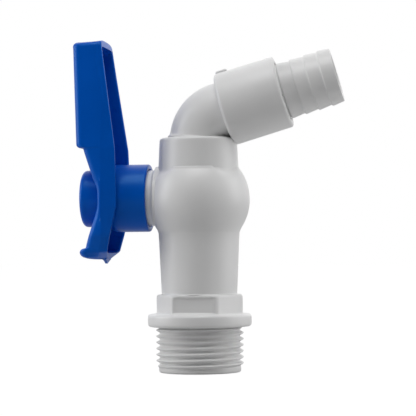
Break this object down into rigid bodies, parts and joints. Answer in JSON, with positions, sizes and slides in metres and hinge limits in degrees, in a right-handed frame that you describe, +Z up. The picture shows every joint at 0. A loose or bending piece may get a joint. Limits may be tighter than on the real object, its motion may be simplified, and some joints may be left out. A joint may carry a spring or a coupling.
{
  "type": "plastic ball tap with hose nipple",
  "caption": "Plastic quarter-turn ball tap with threaded inlet, spanner hexagon, blue lever, elbow spout and a ribbed hose nipple",
  "frame": {"origin": "On the inlet's axis, in the plane of the threaded end", "axes": "+Z runs up the inlet's axis, from the threaded end towards the ball and the spout. +X is the way the spout turns; the lever and the stem's outer end are on -X. +Y is across, at right angles to the stem and the spout."},
  "size_m": [0.081, 0.0312, 0.0994],
  "materials": {
    "white_plastic": "light grey-white moulded plastic, slightly satin",
    "blue_plastic": "deep blue moulded plastic, satin gloss",
    "ball_plastic": "natural white engineering plastic, smooth",
    "seat_plastic": "white low-friction plastic, waxy",
    "black_rubber": "black sealing rubber, matte",
    "bright_steel": "stainless steel, bright turned"
  },
  "bodies": {
    "tap_body": {"valve_body": "white_plastic", "inlet_seat": "seat_plastic", "inlet_seat_backing_ring": "black_rubber", "outlet_seat": "seat_plastic", "outlet_seat_backing_ring": "black_rubber", "seat_carrier": "ball_plastic", "spout_elbow": "white_plastic", "collar_gasket": "black_rubber", "hose_nipple": "white_plastic", "nipple_gasket": "black_rubber"},
    "handle_set": {"ball": "ball_plastic", "stem": "ball_plastic", "stem_o_ring_inner": "black_rubber", "stem_o_ring_outer": "black_rubber", "stem_thrust_washer": "seat_plastic", "handle": "blue_plastic", "screw_washer": "bright_steel", "handle_screw": "bright_steel", "handle_cap": "blue_plastic"}
  },
  "joints": [
    {"name": "handle_turn", "type": "hinge", "parent": "tap_body", "child": "handle_set", "pos_m": [0, 0, 0.0525], "axis": [1, 0, 0], "range_deg": [0, 90]}
  ]
}
